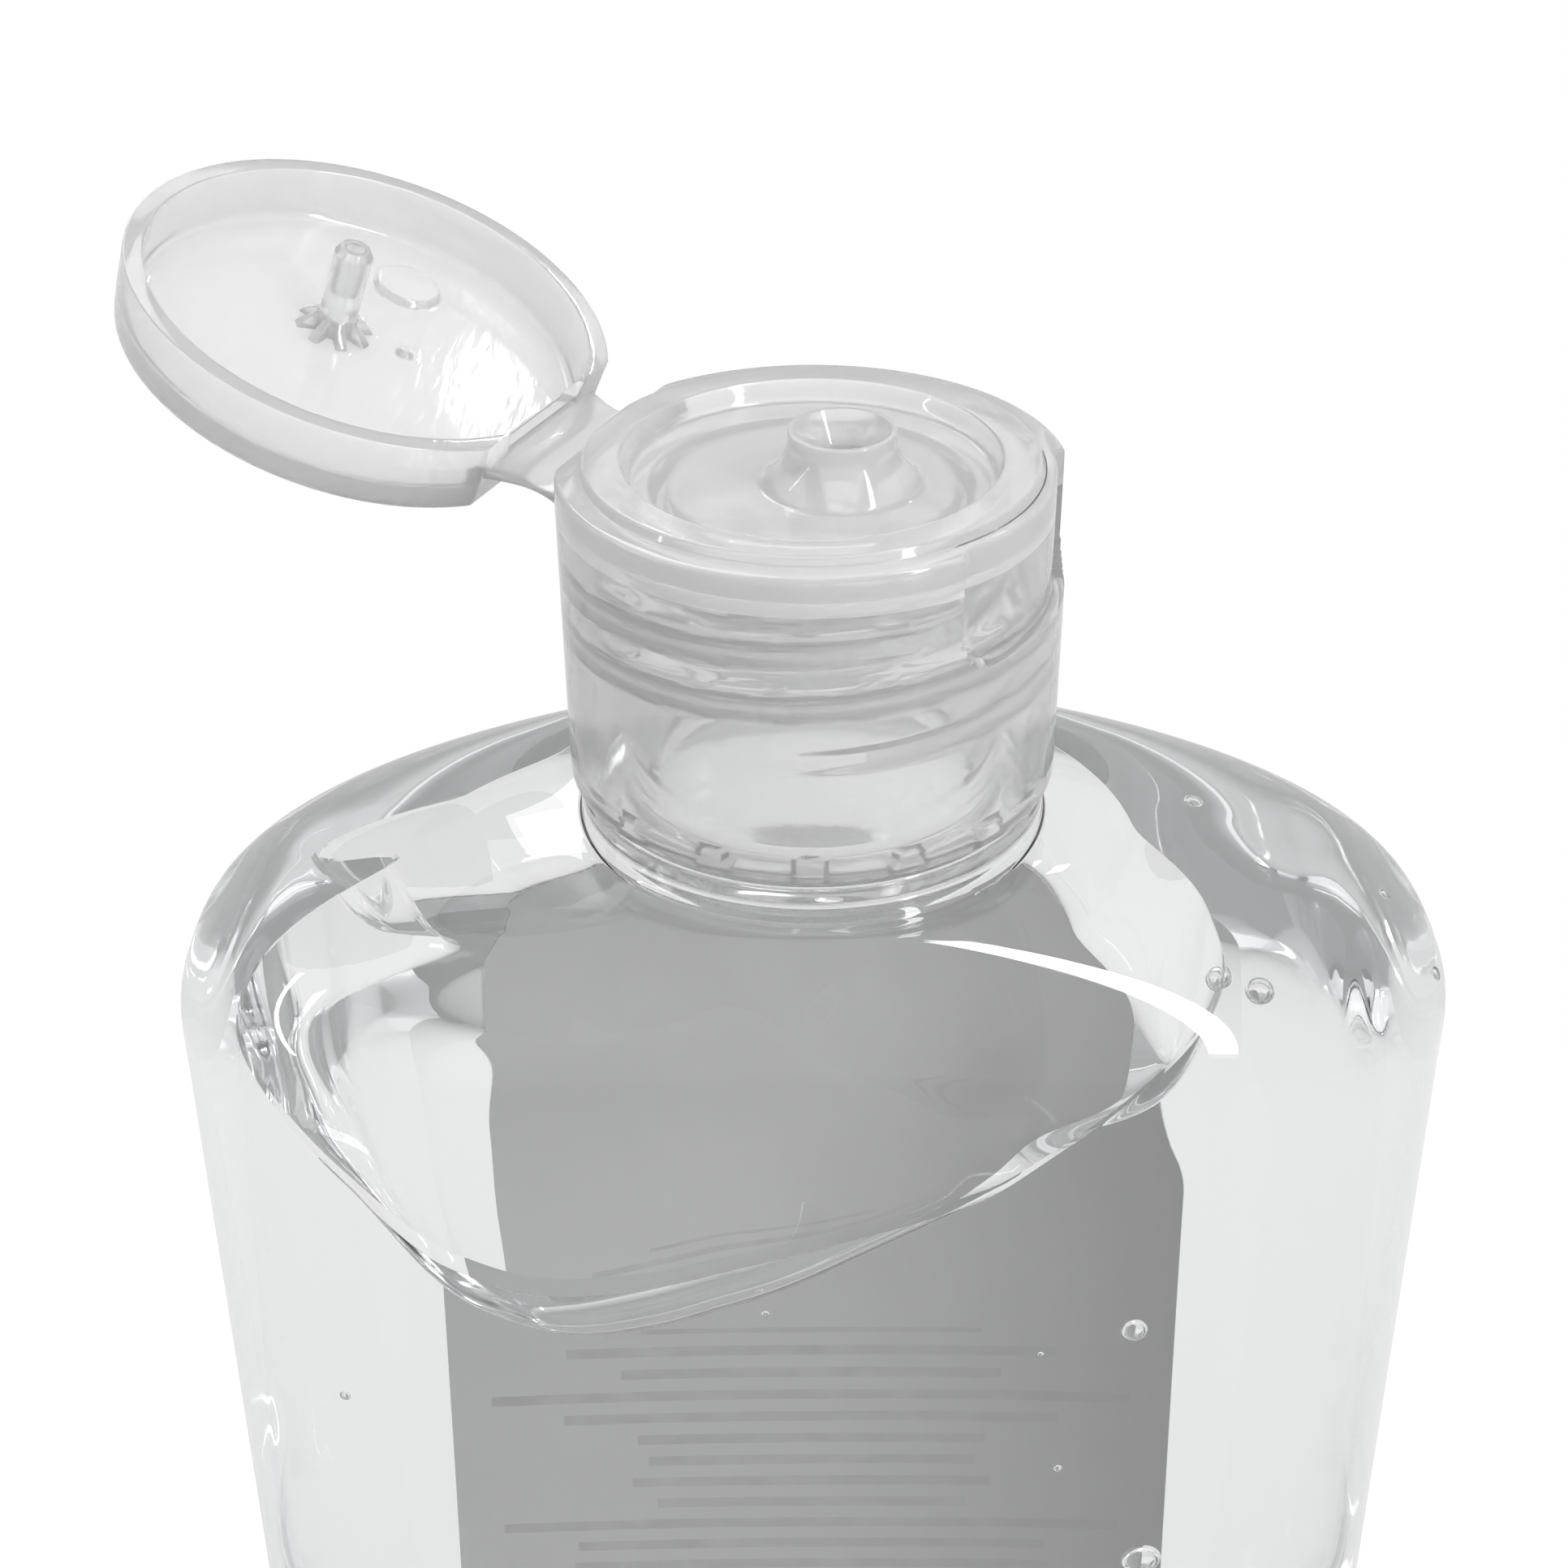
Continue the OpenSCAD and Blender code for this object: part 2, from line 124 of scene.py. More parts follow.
def rounded(path, closed=False):
    """A profile with its corners rounded: path is a list of (x, y, radius)."""
    points = []
    count = len(path)
    for index, (x, y, radius) in enumerate(path):
        is_end = not closed and index in (0, count - 1)
        if radius <= 0 or is_end:
            points.append(np.array([x, y], float))
            continue
        points += arc_corner(path[index - 1][:2], (x, y), path[(index + 1) % count][:2], radius)
    return points


def filled(points, step):
    """The same profile with long stretches cut to that step."""
    result = [points[0]]
    for point in points[1:]:
        gap = np.linalg.norm(point - result[-1])
        pieces = max(1, int(math.ceil(gap / step)))
        start = result[-1]
        for piece in range(1, pieces + 1):
            result.append(start + (point - start) * piece / pieces)
    return result


def skin(name, rings, first=None, last=None, closed=False, bands=None, materials=()):
    """A mesh through rings of points in millimetres, with a pole at each end or closed on itself.
    bands gives each gap between rings its material."""
    count = rings[0].shape[0]
    points = [np.asarray(ring) for ring in rings]
    vertices = np.concatenate(points)
    faces = []
    slots = []
    around = np.arange(count)
    following = (around + 1) % count
    gaps = len(rings) if closed else len(rings) - 1
    for gap in range(gaps):
        low = gap * count
        high = ((gap + 1) % len(rings)) * count
        quads = np.stack([low + around, low + following, high + following, high + around], 1)
        faces += quads.tolist()
        slots += [bands[gap] if bands else 0] * count
    for pole, ring, flip in ((first, 0, True), (last, len(rings) - 1, False)):
        if pole is None:
            continue
        vertices = np.concatenate([vertices, np.asarray(pole, float)[None]])
        tip = len(vertices) - 1
        low = ring * count
        for i in range(count):
            j = (i + 1) % count
            faces.append([low + j, low + i, tip] if flip else [low + i, low + j, tip])
        slots += [bands[0 if flip else -1] if bands else 0] * count
    return make_mesh(name, vertices * MM, faces, slots, materials)


def make_mesh(name, vertices, faces, slots, materials):
    mesh = bpy.data.meshes.new(name)
    mesh.from_pydata(vertices.tolist(), [], faces)
    for material in materials:
        mesh.materials.append(material)
    mesh.polygons.foreach_set("material_index", np.array(slots, np.int32))
    mesh.polygons.foreach_set("use_smooth", np.ones(len(mesh.polygons), bool))
    mesh.update()
    mesh.set_sharp_from_angle(angle=math.radians(50))
    if signed_volume(mesh) < 0:
        mesh.flip_normals()
    piece = bpy.data.objects.new(name, mesh)
    bpy.context.scene.collection.objects.link(piece)
    return piece


def signed_volume(mesh):
    mesh.calc_loop_triangles()
    corners = np.zeros(len(mesh.loop_triangles) * 3, np.int32)
    mesh.loop_triangles.foreach_get("vertices", corners)
    points = np.zeros(len(mesh.vertices) * 3)
    mesh.vertices.foreach_get("co", points)
    triangles = points.reshape(-1, 3)[corners.reshape(-1, 3)]
    return np.einsum("ij,ij->i", triangles[:, 0], np.cross(triangles[:, 1], triangles[:, 2])).sum()


# Materials

def principled(name, **values):
    material = bpy.data.materials.new(name)
    material.use_nodes = True
    shader = material.node_tree.nodes["Principled BSDF"]
    for key, value in values.items():
        shader.inputs[key.replace("_", " ")].default_value = value
    return material, shader


def add_bump(material, shader, scale, strength, distance, detail=2.0, stretch=(1, 1, 1)):
    """Fine unevenness of the surface, from noise in the object's own coordinates."""
    nodes = material.node_tree.nodes
    links = material.node_tree.links
    place = nodes.new("ShaderNodeTexCoord")
    mapping = nodes.new("ShaderNodeMapping")
    mapping.inputs["Scale"].default_value = stretch
    noise = nodes.new("ShaderNodeTexNoise")
    noise.inputs["Scale"].default_value = scale
    noise.inputs["Detail"].default_value = detail
    bump = nodes.new("ShaderNodeBump")
    bump.inputs["Strength"].default_value = strength
    bump.inputs["Distance"].default_value = distance
    links.new(place.outputs["Object"], mapping.inputs["Vector"])
    links.new(mapping.outputs["Vector"], noise.inputs["Vector"])
    links.new(noise.outputs["Fac"], bump.inputs["Height"])
    links.new(bump.outputs["Normal"], shader.inputs["Normal"])


PET_IOR = 1.57
GEL_IOR = 1.37
CLOSURE_IOR = 1.49


def clear_surface(name, colour, ior):
    """A smooth surface that bends light, with a slow unevenness. The wall that the gel wets takes the ratio
    of plastic to gel, because light passes it with little bending."""
    material, shader = principled(
        name, Base_Color=(*colour, 1), Roughness=0.0, Transmission_Weight=1.0, IOR=ior)
    add_bump(material, shader, 40, 0.02, 0.0002)
    return material


def gel_against_wall():
    """Outside of the gel where it lies against the wall, whose own material bends the light there."""
    material = bpy.data.materials.new("gel_against_wall")
    material.use_nodes = True
    nodes = material.node_tree.nodes
    nodes.remove(nodes["Principled BSDF"])
    clear = nodes.new("ShaderNodeBsdfTransparent")
    material.node_tree.links.new(clear.outputs["BSDF"], nodes["Material Output"].inputs["Surface"])
    return material


def lid_plastic():
    """The lid's plastic: thin and polished, with fine scratches on its faces."""
    material, shader = principled(
        "polished_lid_plastic", Base_Color=(0.99, 0.992, 0.993, 1), Roughness=0.05,
        Transmission_Weight=0.66, IOR=CLOSURE_IOR, Subsurface_Weight=1.0,
        Subsurface_Radius=(1, 1, 1), Subsurface_Scale=0.001, Coat_Weight=0.8, Coat_Roughness=0.01)
    add_bump(material, shader, 700, 0.5, 0.00006, detail=3.0, stretch=(1, 0.1, 1))
    bump = shader.inputs["Normal"].links[0].from_socket
    material.node_tree.links.new(bump, shader.inputs["Coat Normal"])
    return material


def natural_plastic(name, transmission, roughness, shade=0.99):
    """The closure's milky plastic: the thinner it is, the more light passes. A darker tone given for its
    base colour is painted shade.
    """
    material, shader = principled(
        name, Base_Color=(shade, shade + 0.002, shade + 0.003, 1), Roughness=roughness,
        Transmission_Weight=transmission, IOR=CLOSURE_IOR, Subsurface_Weight=1.0,
        Subsurface_Radius=(1, 1, 1), Subsurface_Scale=0.0012, Coat_Weight=0.6, Coat_Roughness=0.02)
    add_bump(material, shader, 900, 0.08, 0.0001, detail=3.0)
    return material


# The lowest bar of the print stands above the label's round corners
print_foot = 21.0


# Share of its row that a bar fills, and the lengths of the bars in metres
bar_share = 0.44
shortest_bar = 0.018
bar_spread = 0.024


def label_print(name, ground_left_with_painted_shade, ground_right_with_painted_shade, bar, bar_pitch, word_scale, bars_below):
    """Label film whose ground can be graded from one side to the other as painted shade, with plain soft
    bars in place of print.
    """
    material, shader = principled(name, Roughness=0.5)
    nodes = material.node_tree.nodes
    links = material.node_tree.links
    place = nodes.new("ShaderNodeTexCoord")
    split = nodes.new("ShaderNodeSeparateXYZ")
    links.new(place.outputs["Object"], split.inputs["Vector"])

    def math_node(operation, first, second=0.0):
        node = nodes.new("ShaderNodeMath")
        node.operation = operation
        for socket, value in zip(node.inputs, (first, second)):
            if isinstance(value, (int, float)):
                socket.default_value = value
            else:
                links.new(value, socket)
        return node.outputs["Value"]

    row = math_node("DIVIDE", split.outputs["Z"], bar_pitch * MM)
    row_number = math_node("FLOOR", row)
    in_row = math_node("FRACT", row)
    off_row = math_node("ABSOLUTE", math_node("SUBTRACT", in_row, 0.5))
    in_bar = math_node("LESS_THAN", off_row, bar_share / 2)
    length_noise = nodes.new("ShaderNodeTexWhiteNoise")
    length_noise.noise_dimensions = "1D"
    links.new(row_number, length_noise.inputs["W"])
    reach = math_node("MULTIPLY_ADD", length_noise.outputs["Value"], bar_spread / 2)
    reach.node.inputs[2].default_value = shortest_bar / 2
    in_length = math_node("LESS_THAN", math_node("ABSOLUTE", split.outputs["X"]), reach)
    words = nodes.new("ShaderNodeTexNoise")
    words.inputs["Scale"].default_value = word_scale
    links.new(place.outputs["Object"], words.inputs["Vector"])
    bars_middle = (bars_below + print_foot) / 2
    off_middle = math_node("SUBTRACT", split.outputs["Z"], bars_middle * MM)
    in_height = math_node("LESS_THAN", math_node("ABSOLUTE", off_middle), (bars_below - bars_middle) * MM)
    in_print = math_node("MULTIPLY", math_node("MULTIPLY", in_bar, in_length), in_height)
    soft_words = math_node("MULTIPLY", words.outputs["Fac"], in_print)
    mix = nodes.new("ShaderNodeMix")
    mix.data_type = "RGBA"
    # Painted shade: the ground goes from the left colour to the right one across the label
    across = math_node("MULTIPLY_ADD", split.outputs["X"], 1 / (2 * label_high[0] * MM))
    across.node.inputs[2].default_value = 0.5
    across.node.use_clamp = True
    ground = nodes.new("ShaderNodeMix")
    ground.data_type = "RGBA"
    ground.inputs["A"].default_value = (*ground_left_with_painted_shade, 1)
    ground.inputs["B"].default_value = (*ground_right_with_painted_shade, 1)
    links.new(across, ground.inputs["Factor"])
    links.new(ground.outputs["Result"], mix.inputs["A"])
    mix.inputs["B"].default_value = (*bar, 1)
    links.new(soft_words, mix.inputs["Factor"])
    links.new(mix.outputs["Result"], shader.inputs["Base Color"])
    return material


# Bottle

def shoulder_section(inset, t):
    """Half width, half depth and power of the shoulder's section, from the walls (0) to the neck (1)."""
    grow = (1 - np.clip(t, 0, 1) ** shoulder_bulge) ** (1 / shoulder_flat)
    foot = collar_r + collar_fillet - inset
    return (foot + (half_w - inset - foot) * grow, foot + (half_d - inset - foot) * grow,
            2 + (section_power - 2) * grow)


def reach(centre, directions, section):
    """Distance from centre to the oval section along each direction, by halving."""
    p, q, n = section
    low = np.zeros(len(directions))
    high = np.full(len(directions), 80.0)
    for _ in range(34):
        middle = (low + high) / 2
        x = np.abs(centre[0] + middle * np.cos(directions))
        y = np.abs(centre[1] + middle * np.sin(directions))
        outside = (x / p) ** n + (y / q) ** n > 1
        high = np.where(outside, middle, high)
        low = np.where(outside, low, middle)
    return (low + high) / 2


def ring_at(centre, directions, section, z):
    radius = reach(centre, directions, section)
    return np.stack([centre[0] + radius * np.cos(directions), centre[1] + radius * np.sin(directions),
                     np.broadcast_to(z, radius.shape)], 1)


AROUND = 288
turn = np.linspace(0, 2 * math.pi, AROUND, endpoint=False)
bottle_axis = (0.0, 0.0)
pocket_centre = (-5.0, -2.0)


def base_rings(inset, centre):
    """From the middle of the base out to the bottom of the wall."""
    rings = []
    foot = base_round + foot_w
    for share in np.linspace(0.12, 1, 12):
        lift = push_up * (0.5 + 0.5 * math.cos(math.pi * share))
        section = ((half_w - foot) * share, (half_d - foot) * share, section_power)
        start = (centre[0] * share, centre[1] * share)
        rings.append(ring_at(start, turn, section, inset + lift))
    radius = base_round - inset
    for angle in np.radians(np.linspace(0, 90, 9)):
        section = (half_w - base_round + radius * math.sin(angle),
                   half_d - base_round + radius * math.sin(angle), section_power)
        rings.append(ring_at(centre, turn, section, base_round - radius * math.cos(angle)))
    return rings


def thread_ridge(angle, z, start_z, root, tip, depth, turns):
    """Height of a helical ridge over a cylinder at each angle and height."""
    share = angle / (2 * math.pi)
    ridge = np.zeros(np.broadcast(angle, z).shape)
    for number in range(-1, int(math.ceil(turns)) + 1):
        along = number + share
        away = np.abs(z - start_z - along * thread_pitch)
        fade = smooth_step(np.minimum(along, turns - along) * 5)
        flank = np.clip((root / 2 - away) / (root / 2 - tip / 2), 0, 1)
        ridge = np.maximum(ridge, depth * fade * smooth_step(flank))
    return ridge


def neck_ring(radius, z):
    return np.stack([radius * np.cos(turn), radius * np.sin(turn), np.broadcast_to(z, turn.shape)], 1)


def outer_bottle_rings():
    rings = base_rings(0, bottle_axis)
    for z in np.linspace(base_round + 2, wall_h - 2, 24):
        rings.append(ring_at(bottle_axis, turn, (half_w, half_d, section_power), z))
    for step in range(29):
        t = 1 - (1 - step / 28) ** 1.6
        rings.append(ring_at(bottle_axis, turn, shoulder_section(0, t), wall_h + shoulder_h * t))
    path = rounded([(collar_r + collar_fillet, neck_foot_z, 0), (collar_r, neck_foot_z, collar_fillet),
                    (collar_r, collar_top_z, 0.35), (neck_r, collar_top_z, 0.4),
                    (neck_r, neck_top_z - 0.8, 0)])
    start_z = neck_top_z - thread_top_gap - thread_turns * thread_pitch
    for radius, z in filled(path[1:], 0.2):
        ridge = thread_ridge(turn, z, start_z, 0.62 * thread_pitch, 0.25 * thread_pitch,
                             thread_depth, thread_turns) if z > collar_top_z + 0.5 else 0
        rings.append(neck_ring(radius + ridge, z))
    lip = rounded([(neck_r, neck_top_z - 0.8, 0), (neck_r, neck_top_z, 0.4), (bore_r, neck_top_z, 0.3),
                   (bore_r, collar_top_z, 1.0), (collar_r - wall_t, collar_top_z - 2 * wall_t, 0.8),
                   (collar_r - wall_t, neck_foot_z + 0.2, 0)])
    for radius, z in filled(lip[1:], 0.8):
        rings.append(neck_ring(radius, z))
    return rings


# Height below the foot of the neck at which the air pocket leaves the wall, by direction in degrees
pocket_line = [(-180, 3.4), (-161, 10), (-150, 16), (-138, 21), (-125, 22.4), (-108, 21.6), (-90, 20),
               (-67, 17.8), (-49, 15.2), (-39, 11.3), (-32, 8.2), (-23, 5), (-14, 2.8), (0, 1.4),
               (40, 1), (90, 1), (140, 1.1), (165, 1.8), (180, 3.4)]


def pocket_drop(directions):
    """Smooth curve through pocket_line: a monotone cubic."""
    degrees = (np.degrees(directions) + 180) % 360 - 180
    x = np.array([point[0] for point in pocket_line], float)
    y = np.array([point[1] for point in pocket_line], float)
    slopes = np.diff(y) / np.diff(x)
    tangent = np.zeros(len(x))
    rising = slopes[:-1] * slopes[1:] > 0
    slope_sum = np.where(rising, slopes[:-1] + slopes[1:], 1)
    tangent[1:-1] = np.where(rising, 2 * slopes[:-1] * slopes[1:] / slope_sum, 0)
    tangent[0] = tangent[-1] = -0.5
    i = np.clip(np.searchsorted(x, degrees, side="right") - 1, 0, len(x) - 2)
    h = x[i + 1] - x[i]
    t = (degrees - x[i]) / h
    return (y[i] * (1 + 2 * t) * (1 - t) ** 2 + h * tangent[i] * t * (1 - t) ** 2
            + y[i + 1] * t * t * (3 - 2 * t) + h * tangent[i + 1] * t * t * (t - 1))


def inner_section(inset, z):
    return shoulder_section(inset, (z - wall_h) / (shoulder_h - inset))


def wall_point_rings(inset, steps=64):
    """The inner wall from the base up to the line where the air pocket leaves it."""
    top = neck_foot_z - pocket_drop(turn)
    rings = []
    for step in range(1, steps + 1):
        share = step / steps
        straight = wall_h - 30
        if share < 0.2:
            z = np.full(AROUND, base_round + (straight - base_round) * share / 0.2)
        else:
            z = straight + (top - straight) * (share - 0.2) / 0.8
        rings.append(ring_at(pocket_centre, turn, inner_section(inset, z), z))
    return rings


def dry_rings(inset, steps=26):
    """The inner wall from the pocket's line up to the foot of the neck."""
    low = neck_foot_z - pocket_drop(turn)
    high = neck_foot_z - inset
    rings = []
    for step in range(1, steps + 1):
        share = 1 - (1 - step / steps) ** 1.7
        z = low + (high - low) * share
        centre = (pocket_centre[0] * (1 - share), pocket_centre[1] * (1 - share))
        rings.append(ring_at(centre, turn, inner_section(inset, z), z))
    return rings


def make_bottle(materials):
    outer = outer_bottle_rings()
    dry = dry_rings(wall_t)[::-1]
    wet = (base_rings(wall_t, pocket_centre) + wall_point_rings(wall_t))[::-1]
    rings = outer + dry + wet
    bands = [0] * (len(outer) + len(dry) - 1) + [1] * (len(wet) + 1)
    piece = skin("clear_bottle", rings, (0, 0, push_up), (0, 0, push_up + wall_t), bands=bands,
                 materials=materials)
    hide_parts("bottle")
    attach(piece, "bottle")
    return piece


# The photograph's camera

CAMERA_PIXELS = 1932
camera_focus = 3163.5
camera_place = np.array([-1.634, -127.624, 57.815 + rim_z])
camera_down = math.radians(31.509)
camera_roll = math.radians(0.436)
camera_forward = np.array([0, math.cos(camera_down), -math.sin(camera_down)])
level_down = np.array([0, -math.sin(camera_down), -math.cos(camera_down)])
level_right = np.array([1.0, 0, 0])
camera_right = level_right * math.cos(camera_roll) + level_down * math.sin(camera_roll)
camera_below = -level_right * math.sin(camera_roll) + level_down * math.cos(camera_roll)


# Gel

gel_gap = 0.02
# The gel under the air pocket is nearly level, and drops to a trough along the front wall
floor_back = 131.0
floor_fall = 4.0
trough_depth = 4.5
trough_place = 3.0
trough_width = 8.0
bank_softness = 1.5
# Lumps in the surface of the gel: place across and back, height and width
lumps = [(-3.0, -3.0, 0.9, 5.0), (5.0, -9.0, -1.6, 6.0)]


def pocket_floor(x, y):
    z = floor_back - floor_fall * smooth_step((2 - y) / 18)
    for lump_x, lump_y, height, width in lumps:
        away = ((x - lump_x) ** 2 + (y - lump_y) ** 2) / width ** 2
        z = z + height * np.exp(-away ** 2)
    return z


def pocket_rings(contact, steps=64):
    """The surface of the gel from the line on the wall down a steep bank, then up to the level part."""
    centre = np.array(pocket_centre)
    radius = np.linalg.norm(contact[:, :2] - centre, axis=1)
    rings = []
    for step in range(1, steps):
        share = (step / steps) ** 1.6
        flat = contact[:, :2] + (centre - contact[:, :2]) * share
        away = share * radius
        level = pocket_floor(flat[:, 0], flat[:, 1])
        below = level - contact[:, 2]
        depth = trough_depth * smooth_step((below - 1) / 7)
        low = level - bank_softness * np.log1p(np.exp((below + depth) / bank_softness))
        z = low + (level - low) * smooth_step((away - trough_place) / trough_width)
        z = z + (contact[:, 2] - low) * np.clip(1 - away / (trough_place + 0.5), 0, 1) ** 2
        rings.append(np.column_stack([flat, z]))
    return rings


def make_gel(materials):
    inset = wall_t + gel_gap
    wet = base_rings(inset, pocket_centre) + wall_point_rings(inset)
    pocket = pocket_rings(wet[-1])
    bottom = pocket[-1].mean(0)
    bands = [1] * (len(wet) - 1) + [0] * len(pocket)
    piece = skin("hand_gel", wet + pocket, (0, 0, push_up + inset), bottom, bands=bands, materials=materials)
    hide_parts("gel")
    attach(piece, "bottle")
    return piece


# Bubbles in the gel: column, row and radius in the photograph, and depth behind the wall in millimetres
bubbles = [(1503, 1203, 15, 1.6), (1551, 1221, 19, 1.8), (1706, 1103, 9, 1.2), (1470, 989, 12, 1.4),
           (1768, 1199, 10, 0.9), (1397, 1638, 16, 2.4), (1405, 1920, 24, 3.0), (1282, 1667, 4, 1.6),
           (1303, 1808, 5, 1.6), (943, 1617, 5, 2.0), (840, 1600, 6, 1.6), (426, 1718, 7, 1.0)]


def outside_bottle(point):
    """How far out of the bottle's oval a point is: below 0 inside."""
    p, q, n = shoulder_section(0, (point[2] - wall_h) / shoulder_h)
    return (abs(point[0]) / p) ** n + (abs(point[1]) / q) ** n - 1


def place_behind_wall(column, row, depth):
    """The point that deep in the gel on the line of sight through that pixel, and its distance."""
    middle = CAMERA_PIXELS / 2
    sight = unit(camera_forward + camera_right * (column - middle) / camera_focus
                 + camera_below * (row - middle) / camera_focus)
    away = 90.0
    while outside_bottle(camera_place + sight * away) > 0 and away < 220:
        away += 0.1
    entry = camera_place + sight * away
    steps = 0.05 * np.eye(3)
    normal = unit(np.array([outside_bottle(entry + step) - outside_bottle(entry - step) for step in steps]))
    cosine = -sight @ normal
    bent = sight / GEL_IOR + (cosine / GEL_IOR - math.sqrt(1 - (1 - cosine ** 2) / GEL_IOR ** 2)) * normal
    return entry + bent * (depth + wall_t), away


def make_bubbles(material):
    """Small hollows in the gel, with their surface facing the air inside them."""
    around = np.linspace(0, 2 * math.pi, 24, endpoint=False)
    count = len(around)
    levels = 11
    vertices = []
    faces = []
    for number, (column, row, pixels, depth) in enumerate(bubbles):
        middle, away = place_behind_wall(column, row, depth)
        radius = pixels * away / camera_focus
        start = len(vertices)
        flat = 0.82 + 0.16 * math.cos(2.4 * number)
        vertices.append(middle + (0, 0, -radius * flat))
        for level in np.radians(np.linspace(-75, 75, levels)):
            for angle in around:
                out = np.array([math.cos(level) * math.cos(angle), math.cos(level) * math.sin(angle),
                                flat * math.sin(level)])
                vertices.append(middle + radius * out)
        vertices.append(middle + (0, 0, radius * flat))
        last_ring = start + 1 + (levels - 1) * count
        for i in range(count):
            j = (i + 1) % count
            faces.append([start, start + 1 + i, start + 1 + j])
            faces.append([last_ring + j, last_ring + i, last_ring + count])
            for ring in range(levels - 1):
                low = start + 1 + ring * count
                faces.append([low + i, low + count + i, low + count + j, low + j])
    piece = make_mesh("gel_bubbles", np.array(vertices) * MM, faces, [0] * len(faces), [material])
    piece.data.flip_normals()
    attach(piece, "bottle")
    return piece


# Closure base, in the closure's own frame: origin on the axis at the rim, hinge towards +X

CAP_AROUND = 280
cap_turn = np.linspace(0, 2 * math.pi, CAP_AROUND, endpoint=False)
flat_u = cap_r - 1.8
strap_drop = 1.9
strap_t = 0.7
strap_w = 12.0
spout_offset = 1.8
deck_under = neck_top_z + 0.1 - rim_z
skirt_low = collar_top_z + 0.5 - rim_z
seat_ring_r = cap_r - 1.1 - 0.3
dish_r = seat_ring_r - 2.6
seat_ring_h = 0.5
dish_drop = 0.7
orifice_r = 1.4
spout_h = 2.3
spout_mouth_r = 2.95
spout_foot_r = 4.4
plug_r = bore_r - 0.05


def to_closure_frame(points):
    """From the closure's own frame to the bottle's frame."""
    c, s = math.cos(hinge_azimuth), math.sin(hinge_azimuth)
    return np.stack([c * points[:, 0] - s * points[:, 1], s * points[:, 0] + c * points[:, 1],
                     points[:, 2] + rim_z], 1)


def open_lid(points):
    """From the closed lid to the lid as it is open at rest."""
    c, s = math.cos(lid_open), math.sin(lid_open)
    x = points[:, 0] - pivot_u
    z = points[:, 2]
    return np.stack([pivot_u + c * x + s * z, points[:, 1], -s * x + c * z], 1)


def chord_limit(distance):
    """Radius of a straight chord across the hinge side, in each direction."""
    cosine = np.cos(cap_turn)
    return np.where(cosine > 0.3, distance / np.maximum(cosine, 0.3), 100)


def recess_mask(z, half_width=7.2, low=-6.8, corner=2.0, edge=0.14):
    """1 inside the thumb recess opposite the hinge, 0 outside, with a narrow soft edge."""
    across = cap_r * np.sin(cap_turn)
    side = np.abs(across) - (half_width - corner)
    depth = (low + corner) - z
    outside = np.hypot(np.maximum(side, 0), np.maximum(depth, 0)) + np.minimum(np.maximum(side, depth), 0)
    mask = smooth_step(0.5 - (outside - corner) / edge)
    return np.where(np.cos(cap_turn) < 0, mask, 0)


def notch_mask(z, count=15, half_width=0.95, height=1.0, slope=0.3, edge=0.12):
    """1 inside the notches round the lower inner edge of the skirt."""
    share = (cap_turn * count / (2 * math.pi) - 0.24) % 1 - 0.5
    across = np.abs(share) * 2 * math.pi * cap_bore_r / count
    rise = z - skirt_low
    limit = half_width - slope * rise / height
    return smooth_step((limit - across) / edge + 0.5) * smooth_step((height - rise) / edge + 0.5)


def cap_ring(radius, z, centre_x=0.0):
    return np.stack([centre_x + radius * np.cos(cap_turn), radius * np.sin(cap_turn),
                     np.broadcast_to(z, cap_turn.shape)], 1)


def spout_rings():
    """Up through the hole, over the mouth and down the flared outside to the dish."""
    path = rounded([(orifice_r, deck_under, 0), (orifice_r, spout_h - 1.5, 0.3),
                    (spout_mouth_r - 0.28, spout_h, 0.08), (spout_mouth_r, spout_h, 0.12),
                    (spout_mouth_r + 0.02, spout_h - 0.35, 0)])
    rings = [cap_ring(r, z, -spout_offset) for r, z in filled(path, 0.35)]
    rise = spout_h - 0.35 + dish_drop
    for t in np.linspace(0, 1, 15)[1:]:
        r = spout_mouth_r + 0.02 + (spout_foot_r - spout_mouth_r) * t ** 2.2
        rings.append(cap_ring(r, spout_h - 0.35 - rise * t, -spout_offset))
    return rings


def top_rings():
    """Dish, seat ring and land, clipped by the hinge flat."""
    path = rounded([(spout_foot_r + 0.35, -dish_drop, 0), (dish_r, -dish_drop, 0.5),
                    (dish_r + 0.4, seat_ring_h, 0.25), (seat_ring_r - 0.2, seat_ring_h, 0.2),
                    (seat_ring_r, 0, 0.15), (cap_r - 0.02, 0, 0.3), (cap_r, -0.8, 0)])
    rings = []
    flat = chord_limit(flat_u)
    for r, z in filled(path, 0.45)[:-1]:
        share = smooth_step((r - spout_foot_r - 0.3) / (dish_r - 1 - spout_foot_r))
        pushed = 0.7 * recess_mask(z) * smooth_step((r - cap_r + 1.3) / 0.6)
        rings.append(cap_ring(np.minimum(r - pushed, flat), z, -spout_offset * (1 - share)))
    return rings


# The closure's thread: where it starts, its root and tip widths, its height and its turns
closure_thread_phase = 0.3
closure_thread_foot = -11.5
closure_thread_root = 1.7
closure_thread_tip = 0.7
closure_thread_depth = 0.85
closure_thread_turns = 2.17


def closure_thread(angle, z):
    """Height of the closure's thread, which lies half a pitch from the thread of the neck."""
    from_front = (angle + hinge_azimuth + math.pi / 2 + closure_thread_phase) % (2 * math.pi)
    return thread_ridge(from_front, z, closure_thread_foot, closure_thread_root, closure_thread_tip,
                        closure_thread_depth, closure_thread_turns)


